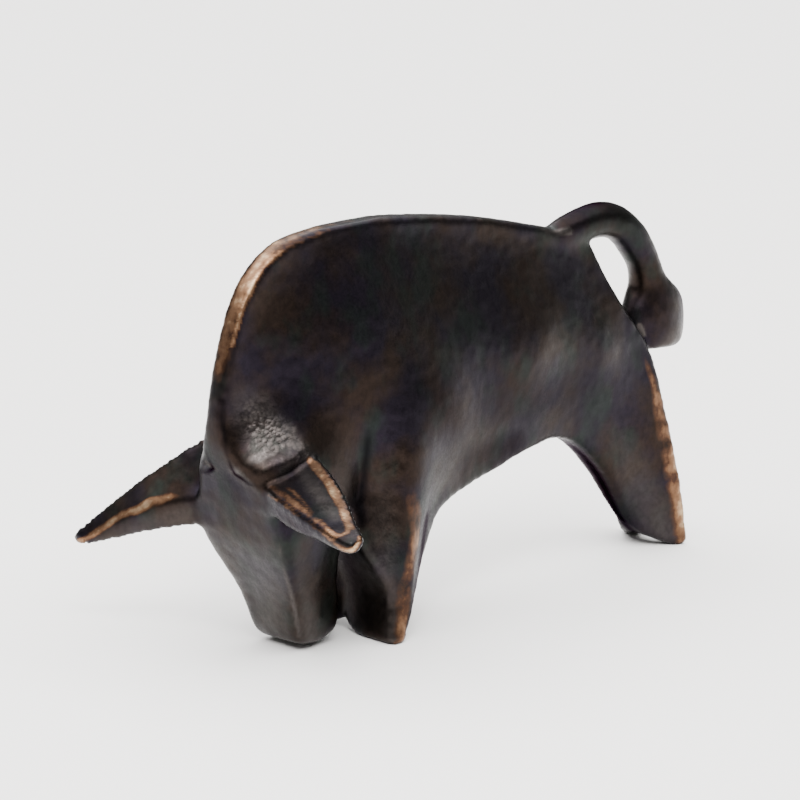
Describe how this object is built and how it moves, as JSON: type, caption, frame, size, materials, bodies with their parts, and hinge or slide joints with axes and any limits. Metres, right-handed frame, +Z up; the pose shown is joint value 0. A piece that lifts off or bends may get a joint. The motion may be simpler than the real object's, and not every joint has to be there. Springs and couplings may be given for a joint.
{
  "type": "bull sculpture",
  "caption": "Stylised bull figurine cast in bronze, head lowered between crescent front legs, with a narrow crested back, swept horns and an arched tail.",
  "frame": {"origin": "middle of the base of the sculpture's bounding box, on the surface it stands on", "axes": "+Z up, the bull faces -Y, its left side is +X"},
  "size_m": [0.152, 0.274, 0.1639],
  "materials": {
    "bronze": "dark brown-black patina, satin, worn bright on the ridges"
  },
  "bodies": {
    "root": {"bull": "bronze"}
  },
  "joints": []
}
